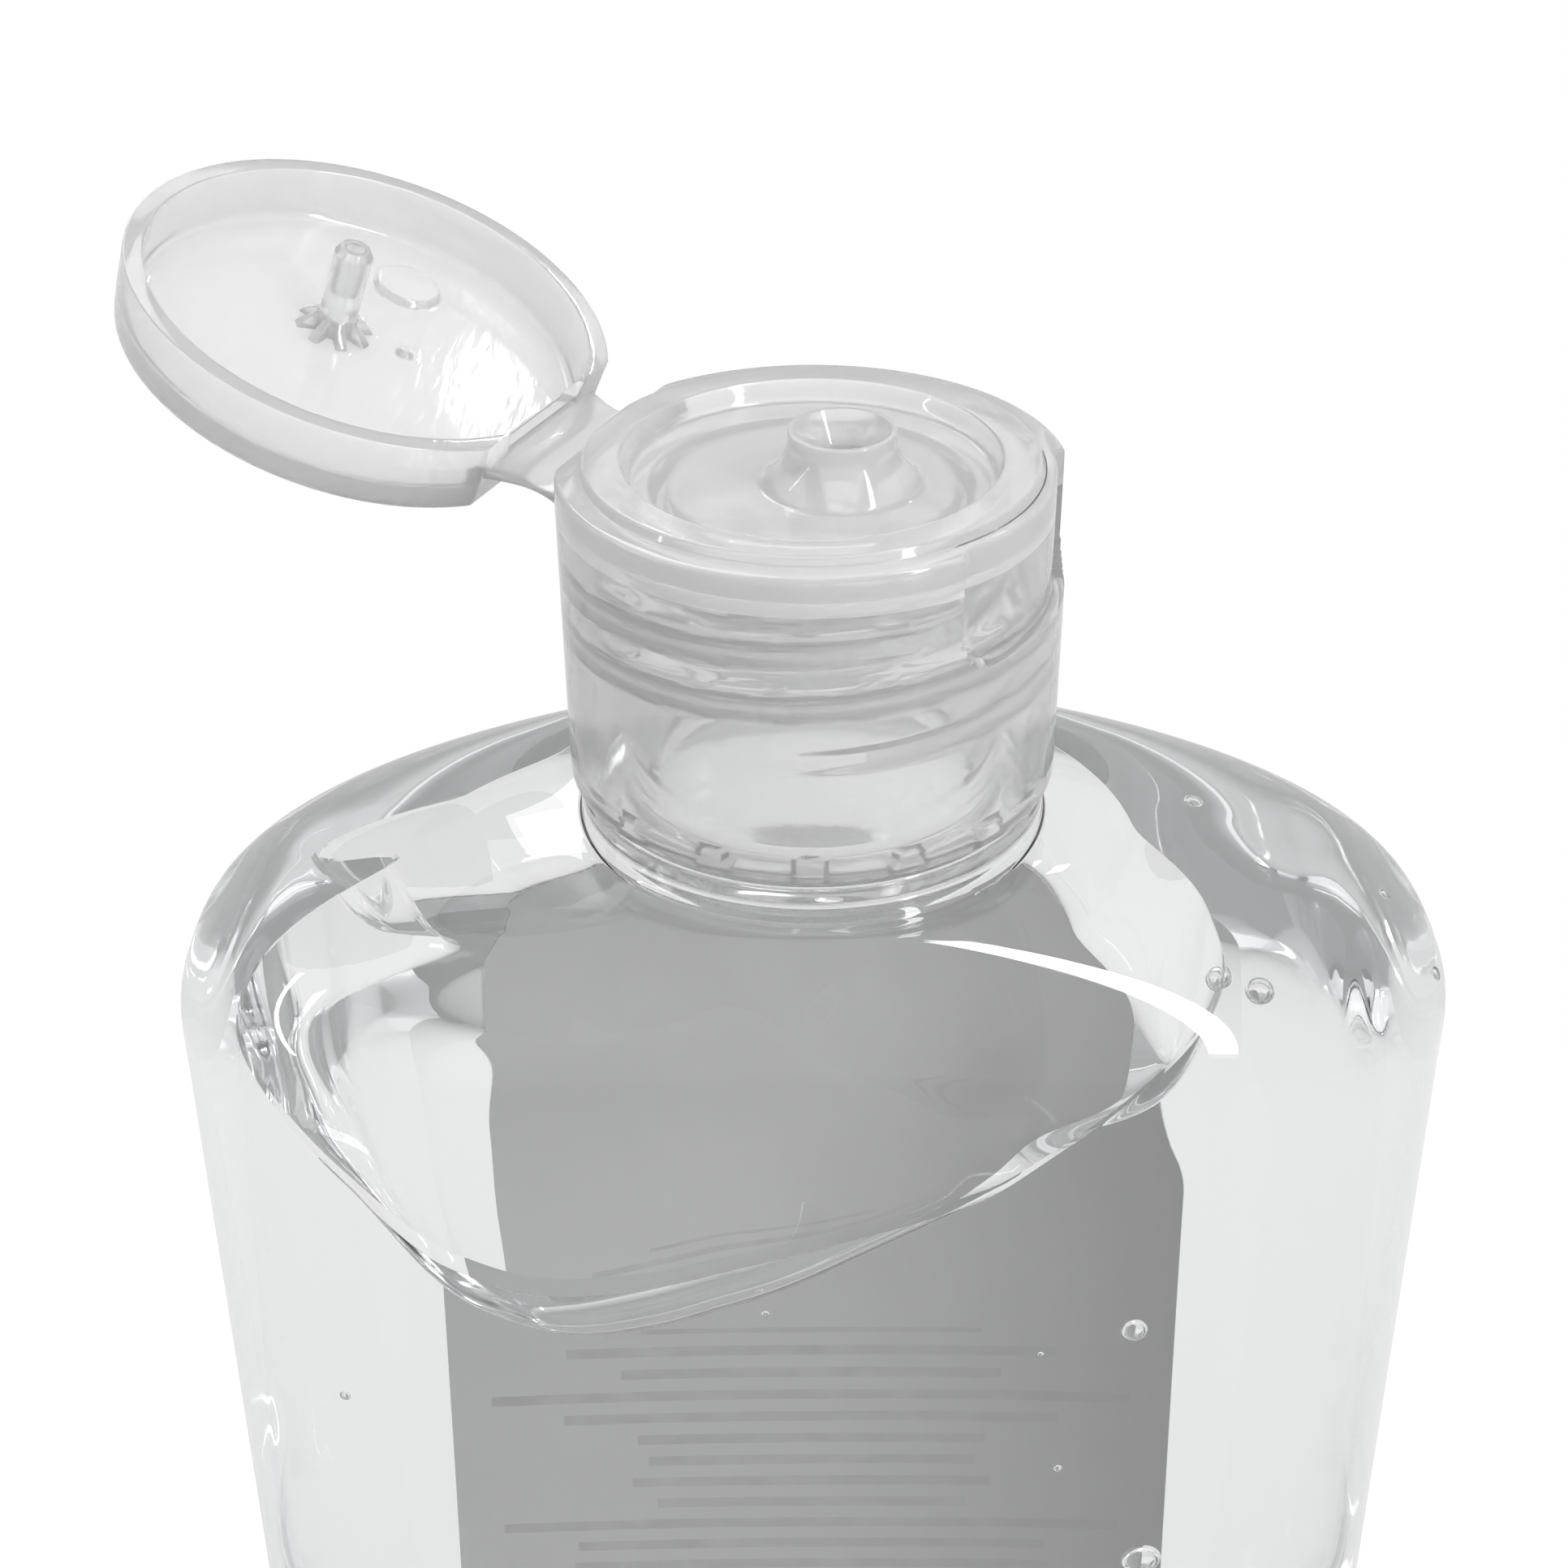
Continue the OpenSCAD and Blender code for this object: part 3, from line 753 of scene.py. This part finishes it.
def wall_rings():
    """The outside of the skirt from the rim down, its lower edge, and the threaded inside.
    Also how many of the rings lie beside the thick deck."""
    rings = []
    flat = chord_limit(flat_u)
    beside_deck = 0
    levels = list(np.arange(-0.8, -1.8, -0.2)) + [-strap_drop + 0.04, -strap_drop - 0.04]
    levels += list(np.arange(-2.2, -7.4, -0.12)) + list(np.linspace(-7.8, skirt_low + 0.4, 22))
    for z in levels:
        draft = 0.1 * z / skirt_low
        radius = cap_r - draft - 0.7 * recess_mask(z)
        if z > -strap_drop:
            radius = np.minimum(radius, flat)
        rings.append(cap_ring(radius, z))
        if z > deck_under:
            beside_deck += 1
    edge = rounded([(cap_r - 0.1, skirt_low + 0.4, 0), (cap_r - 0.1, skirt_low, 0.25),
                    (cap_bore_r + 0.05, skirt_low, 0.2), (cap_bore_r, skirt_low + 0.35, 0)])
    for r, z in filled(edge[1:], 0.3):
        inner = smooth_step((cap_bore_r + 0.9 - r) / 0.5)
        rings.append(cap_ring(r + 0.6 * notch_mask(z) * inner, z))
    for z in np.arange(skirt_low + 0.5, deck_under - 0.5, 0.16):
        ridge = closure_thread(cap_turn, z)
        rings.append(cap_ring(cap_bore_r + 0.6 * notch_mask(z) - ridge, z))
    return rings, beside_deck


def under_rings():
    """Under the deck: out to the skirt, round the sealing ring and in to the hole."""
    path = rounded([(cap_bore_r, deck_under - 0.5, 0), (cap_bore_r, deck_under, 0.3),
                    (plug_r, deck_under, 0.15), (plug_r, deck_under - 2.6, 0.3),
                    (plug_r - 0.3, deck_under - 3.2, 0.15), (plug_r - 0.9, deck_under - 3.2, 0.2),
                    (plug_r - 0.9, deck_under, 0.4), (orifice_r + 0.6, deck_under, 0),
                    (orifice_r + 0.05, deck_under, 0)])
    rings = []
    for r, z in filled(path, 0.4):
        share = smooth_step((plug_r - 1.4 - r) / 4.5)
        rings.append(cap_ring(r, z, -spout_offset * share))
    return rings


whitened_depth = 0.3


def whiten_thread(mesh):
    """The thread is the thickest part of the wall, so it is milkier than the rest."""
    c, s = math.cos(hinge_azimuth), math.sin(hinge_azimuth)
    for face in mesh.polygons:
        x, y, z = face.center / MM
        radius = math.hypot(x, y)
        if abs(radius - (cap_bore_r - 0.55)) > 0.65 or z > rim_z + deck_under - 0.5:
            continue
        angle = math.atan2(c * y - s * x, c * x + s * y)
        if closure_thread(angle, z - rim_z) > whitened_depth:
            face.material_index = 2


def make_cap(thick, thin, thread):
    top = spout_rings() + top_rings()
    wall, beside_deck = wall_rings()
    under = under_rings()
    bands = [0] * (len(top) + beside_deck) + [1] * (len(wall) - beside_deck) + [0] * len(under)
    rings = [to_closure_frame(ring) for ring in top + wall + under]
    piece = skin("closure_base", rings, closed=True, bands=bands, materials=[thick, thin, thread])
    whiten_thread(piece.data)
    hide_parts("cap_base")
    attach(piece, "closure")
    return piece


# Lid, as it sits closed on the rim

lid_h = 4.5
lid_wall = 1.1
lid_in_r = cap_r - lid_wall
lid_floor = lid_h - 1.1
lid_gap = 0.12
pin_r = 1.1
pin_tip = spout_h - 4.5
tip_angle = math.acos(flat_u / lid_in_r)
# Raised marks on its inner face: place, radius, height and width of the edge
lid_marks = [(-1.5, -7.5, 1.95, 0.4, 0.22), (2.2, -1.5, 0.45, 0.35, 0.3)]
star_ribs = 8


def lid_rim_height():
    """Height of the rim: it steps up where the hinge flat has cut the wall away."""
    near = np.abs((cap_turn + math.pi) % (2 * math.pi) - math.pi)
    step = smooth_step((tip_angle + 0.012 - near) / 0.02)
    return lid_gap + (strap_drop - lid_gap) * step


def lid_rings():
    outer_chord = chord_limit(flat_u)
    inner_chord = chord_limit(flat_u - lid_wall)
    rim = lid_rim_height()
    rings = []
    for r in np.linspace(0.8, cap_r - 1.3, 16):
        rings.append(cap_ring(np.minimum(r, outer_chord - 0.5), lid_h - 0.15 * (1 - (r / cap_r) ** 2)))
    edge = rounded([(cap_r - 1.3, lid_h, 0), (cap_r - 0.25, lid_h, 0.8), (cap_r - 0.1, 2.6, 0)])
    for r, z in filled(edge[1:], 0.4):
        rings.append(cap_ring(np.minimum(r, outer_chord - (cap_r - 0.1 - r) * 0.8), z))
    for share in np.linspace(0, 1, 10)[1:]:
        z = 2.6 + (rim + 0.2 - 2.6) * share
        rings.append(cap_ring(np.minimum(cap_r - 0.1 + 0.1 * share, outer_chord), z))
    lip = rounded([(cap_r, 0.2, 0), (cap_r, 0, 0.15), (lid_in_r, 0, 0.15), (lid_in_r, 0.25, 0)])
    for r, z in filled(lip[1:], 0.25):
        limit = outer_chord - (cap_r - r) * 0.02
        rings.append(cap_ring(np.minimum(r, limit), rim + z))
    for share in np.linspace(0, 1, 7)[1:]:
        z = rim + 0.25 + (strap_drop - 0.03 - rim - 0.25) * share
        radius = np.minimum(lid_in_r, outer_chord - 0.12)
        rings.append(cap_ring(radius, np.maximum(z, rim + 0.25 + 0.01 * share)))
    inner = rounded([(lid_in_r, strap_drop + 0.03, 0), (lid_in_r - 0.08, lid_floor, 0.7),
                     (lid_in_r - 1.6, lid_floor, 0)])
    for r, z in filled(inner, 0.3):
        limit = inner_chord - (lid_in_r - r) * 0.9
        lift = 0.4 * (1 - smooth_step((z - strap_drop) / 0.3)) * (rim > lid_gap + 0.3)
        rings.append(cap_ring(np.minimum(r, limit), z + lift))
    return rings


def lid_floor_rings():
    """The inner face of the lid from the wall to the star at the foot of the pin."""
    inner_chord = chord_limit(flat_u - lid_wall)
    rings = []
    for r in np.linspace(lid_in_r - 1.85, pin_r + 1.35, 58):
        share = smooth_step((lid_in_r - 2 - r) / 7)
        ring = cap_ring(np.minimum(r, inner_chord - (lid_in_r - r) * 0.9), lid_floor, -spout_offset * share)
        for mark_x, mark_y, mark_r, height, edge in lid_marks:
            away = np.hypot(ring[:, 0] - mark_x, ring[:, 1] - mark_y)
            ring[:, 2] -= height * smooth_step((mark_r - away) / edge + 0.5)
        rings.append(ring)
    return rings


def pin_rings():
    """Star ribs, the pin, and the hollow in its tip."""
    rings = []
    star = np.clip(np.cos(star_ribs * cap_turn) * 2.2, -1, 1)
    for t in np.linspace(0, 1, 9):
        radius = pin_r + 0.12 + (1.05 - 0.95 * t ** 1.5) * (0.5 + 0.5 * star)
        rings.append(cap_ring(radius, lid_floor - 0.04 - 0.85 * t, -spout_offset))
    path = rounded([(pin_r + 0.02, lid_floor - 1.05, 0), (pin_r, pin_tip + 0.45, 0.2),
                    (pin_r - 0.25, pin_tip, 0.12), (pin_r / 2, pin_tip, 0.12),
                    (pin_r / 2, pin_tip + 3, 0.3), (0.1, pin_tip + 3.05, 0)])
    for r, z in filled(path, 0.4):
        rings.append(cap_ring(r, z, -spout_offset))
    return rings


def make_lid(material):
    rings = lid_rings() + lid_floor_rings() + pin_rings()
    rings = [to_closure_frame(open_lid(ring)) for ring in rings]
    first = to_closure_frame(open_lid(np.array([[0, 0, lid_h - 0.15]])))[0]
    last = to_closure_frame(open_lid(np.array([[-spout_offset, 0, pin_tip + 3.06]])))[0]
    piece = skin("flip_lid", rings, first, last, materials=[material])
    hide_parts("lid")
    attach(piece, "lid")
    return piece


def make_strap(material):
    """The bending web between the closure base and the lid, as it lies with the lid open."""
    root = np.array([flat_u - 0.25, 0, -strap_drop - strap_t / 2])
    tip = open_lid(np.array([[flat_u - 0.25, 0, strap_drop + strap_t / 2]]))[0]
    steps, corners = 36, 40
    corner = np.linspace(0, 2 * math.pi, corners, endpoint=False)
    rings = []
    for step in range(steps + 1):
        share = step / steps
        middle = root + (tip - root) * share
        waist = 1 - (2 * share - 1) ** 2
        middle[2] -= 0.15 * waist
        half_t = (strap_t - 0.3 * waist ** 3) / 2
        half_v = (strap_w + 0.9) / 2 - 0.9 * waist
        across = half_v * np.sign(np.cos(corner)) * np.abs(np.cos(corner)) ** 0.25
        up = half_t * np.sign(np.sin(corner)) * np.abs(np.sin(corner)) ** 0.5
        rings.append(to_closure_frame(np.stack([np.full(corners, middle[0]), across, middle[2] + up], 1)))
    piece = skin("hinge_strap", rings, rings[0].mean(0), rings[-1].mean(0), materials=[material])
    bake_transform(piece)
    return piece


# Label

# How far its inner face lies in the wall, and its outer face stands out
label_sunk = 0.05
label_proud = 0.12


def make_label(materials):
    half_label = label_high[0]
    low, high = label_low[2], label_high[2]
    columns, rows = 120, 150
    x = half_label * np.sin(np.linspace(-math.pi / 2, math.pi / 2, columns))
    into = np.clip(np.abs(x) - (half_label - label_corner), 0, label_corner)
    cut = label_corner - np.sqrt(label_corner ** 2 - into ** 2)

    def side(out):
        y = (half_d + out) * (1 - (np.abs(x) / (half_w + out)) ** section_power) ** (1 / section_power)
        share = np.linspace(0, 1, rows)[:, None]
        z = low + cut + (high - low - 2 * cut) * share
        return np.stack([np.broadcast_to(x, z.shape), np.broadcast_to(y, z.shape), z], 2).reshape(-1, 3)

    vertices = np.concatenate([side(-label_sunk), side(label_proud)])
    total = columns * rows
    faces = []
    slots = []
    for row in range(rows - 1):
        for column in range(columns - 1):
            a = row * columns + column
            quad = [a, a + 1, a + columns + 1, a + columns]
            faces += [quad, [total + i for i in quad[::-1]]]
            slots += [1, 0]
    border = [(0, c) for c in range(columns)] + [(r, columns - 1) for r in range(1, rows)]
    border += [(rows - 1, c) for c in range(columns - 2, -1, -1)] + [(r, 0) for r in range(rows - 2, 0, -1)]
    ids = [r * columns + c for r, c in border]
    for a, b in zip(ids, ids[1:] + ids[:1]):
        faces.append([b, a, total + a, total + b])
        slots.append(0)
    piece = make_mesh("label_on_back", vertices * MM, faces, slots, materials)
    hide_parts("back_label")
    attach(piece, "bottle")
    return piece


# Stage, light and camera

def background_share(nodes, links, to_camera, to_plastic):
    """How white the background is: to the camera, and to what the plastic mirrors and bends."""
    path = nodes.new("ShaderNodeLightPath")
    bent = nodes.new("ShaderNodeMath")
    bent.operation = "ADD"
    bent.use_clamp = True
    links.new(path.outputs["Is Glossy Ray"], bent.inputs[0])
    links.new(path.outputs["Is Transmission Ray"], bent.inputs[1])
    weak = nodes.new("ShaderNodeMath")
    weak.operation = "MULTIPLY"
    weak.inputs[1].default_value = to_plastic
    links.new(bent.outputs["Value"], weak.inputs[0])
    share = nodes.new("ShaderNodeMath")
    share.operation = "MULTIPLY_ADD"
    share.inputs[1].default_value = to_camera
    links.new(path.outputs["Is Camera Ray"], share.inputs[0])
    links.new(weak.outputs["Value"], share.inputs[2])
    return share.outputs["Value"]


floor_half_w = 0.4
floor_near = -0.8
floor_far = 0.155


def make_floor():
    corners = [(-floor_half_w, floor_near, 0), (floor_half_w, floor_near, 0),
               (floor_half_w, floor_far, 0), (-floor_half_w, floor_far, 0)]
    mesh = bpy.data.meshes.new("pale_floor")
    mesh.from_pydata(corners, [], [(0, 1, 2, 3)])
    floor = bpy.data.objects.new("pale_floor", mesh)
    bpy.context.scene.collection.objects.link(floor)
    material, shader = principled("pale_floor", Base_Color=(0.47, 0.47, 0.47, 1), Roughness=0.9,
                                  Emission_Color=(1, 1, 1, 1))
    links = material.node_tree.links
    seen = background_share(material.node_tree.nodes, links, 0.6, 0.24)
    links.new(seen, shader.inputs["Emission Strength"])
    floor.data.materials.append(material)
    return floor


def make_world():
    """White to the camera; a softly graded pale room for what the plastic mirrors and bends."""
    world = bpy.data.worlds.new("studio")
    bpy.context.scene.world = world
    world.use_nodes = True
    nodes = world.node_tree.nodes
    links = world.node_tree.links
    background = nodes["Background"]
    place = nodes.new("ShaderNodeTexCoord")
    bright_side = nodes.new("ShaderNodeVectorMath")
    bright_side.operation = "DOT_PRODUCT"
    bright_side.inputs[1].default_value = (0.1, -0.5, 0.7)
    links.new(place.outputs["Generated"], bright_side.inputs[0])
    ramp = nodes.new("ShaderNodeValToRGB")
    stops = ramp.color_ramp.elements
    stops.new(0.45)
    for stop, place_in_ramp, brightness in zip(stops, (0.0, 0.45, 0.9), (0.56, 1.04, 1.28)):
        stop.position = place_in_ramp
        stop.color = (brightness, brightness, brightness, 1)
    links.new(bright_side.outputs["Value"], ramp.inputs["Fac"])
    mix = nodes.new("ShaderNodeMix")
    mix.data_type = "RGBA"
    links.new(background_share(nodes, links, 1.0, 0.4), mix.inputs["Factor"])
    links.new(ramp.outputs["Color"], mix.inputs["A"])
    mix.inputs["B"].default_value = (1, 1, 1, 1)
    links.new(mix.outputs["Result"], background.inputs["Color"])
    background.inputs["Strength"].default_value = 1.0


OBJECT_MIDDLE = (0, 0, 0.13)


def area_light(name, place, size, power):
    light = bpy.data.lights.new(name, "AREA")
    light.shape = "RECTANGLE"
    light.size, light.size_y = size
    light.energy = power
    holder = bpy.data.objects.new(name, light)
    bpy.context.scene.collection.objects.link(holder)
    holder.location = place
    aim = Vector(OBJECT_MIDDLE) - Vector(place)
    holder.rotation_euler = aim.to_track_quat("-Z", "Y").to_euler()
    return holder


def strip_light(name, start, end, width, power):
    """A long thin light between two places, facing the bottle."""
    start = Vector(start)
    end = Vector(end)
    middle = (start + end) / 2
    holder = area_light(name, middle, ((end - start).length, width), power)
    along = (end - start).normalized()
    toward = (Vector(OBJECT_MIDDLE) - middle).normalized()
    side = toward.cross(along).normalized()
    facing = along.cross(side)
    holder.rotation_euler = Matrix((along, -side, -facing)).transposed().to_euler()
    return holder


def make_lights():
    area_light("window_light", (0.299, 0.944, 0.929), (0.036, 0.026), 0.14)
    area_light("pale_panel", (-0.19, 0.93, 1.02), (0.26, 0.6), 1.1)
    strip_light("right_strip", (0.27, 0.07, 1.09), (0.66, -0.74, 0.25), 0.08, 3.2)
    strip_light("left_strip", (-0.8, 0.18, 0.72), (-0.95, -0.46, 0.15), 0.02, 0.6)


def make_camera():
    camera = bpy.data.cameras.new("camera")
    camera.sensor_width = 36
    camera.lens = 36 * camera_focus / CAMERA_PIXELS
    camera.clip_start = 0.005
    camera.clip_end = 50
    holder = bpy.data.objects.new("camera", camera)
    bpy.context.scene.collection.objects.link(holder)
    matrix = Matrix.Identity(4)
    for row in range(3):
        matrix[row][0] = camera_right[row]
        matrix[row][1] = -camera_below[row]
        matrix[row][2] = -camera_forward[row]
        matrix[row][3] = camera_place[row] * MM
    holder.matrix_world = matrix
    bpy.context.scene.camera = holder


def set_render_paths():
    scene = bpy.context.scene
    scene.view_settings.view_transform = "Standard"
    scene.cycles.max_bounces = 32
    scene.cycles.transmission_bounces = 28
    scene.cycles.glossy_bounces = 12
    scene.cycles.diffuse_bounces = 4
    scene.cycles.transparent_max_bounces = 32
    scene.cycles.caustics_refractive = True
    scene.cycles.caustics_reflective = False


make_bottle([
    clear_surface("clear_bottle_plastic", (0.994, 0.996, 0.997), PET_IOR),
    clear_surface("wet_inner_wall", (0.965, 0.968, 0.97), PET_IOR / GEL_IOR),
])
gel_skin = clear_surface("gel_surface", (0.998, 0.999, 0.999), GEL_IOR)
make_gel([gel_skin, gel_against_wall()])
make_bubbles(gel_skin)
make_label([
    label_print("label_outside", (0.72, 0.74, 0.75), (0.72, 0.74, 0.75), (0.35, 0.38, 0.4), 3.2, 300, 104),
    # Painted shade: the inner face of the label darkens from left to right, standing in for the light
    # falling on it
    label_print("label_inside_painted_shade", (0.87, 0.87, 0.87), (0.6, 0.6, 0.6), (0.56, 0.56, 0.56), 2.0, 500, 93),
])
make_cap(natural_plastic("thick_closure_plastic", 0.62, 0.07),
         # Painted shade: the thin skirt below the deck is given a darker tone, 0.88, which darkens the
         # closure's lower wall
         natural_plastic("thin_closure_plastic_painted_shade", 0.78, 0.06, 0.88),
         natural_plastic("closure_thread_plastic", 0.3, 0.1))
make_lid(lid_plastic())
make_strap(natural_plastic("hinge_plastic", 0.7, 0.06))
make_floor()
make_world()
make_lights()
make_camera()
set_render_paths()
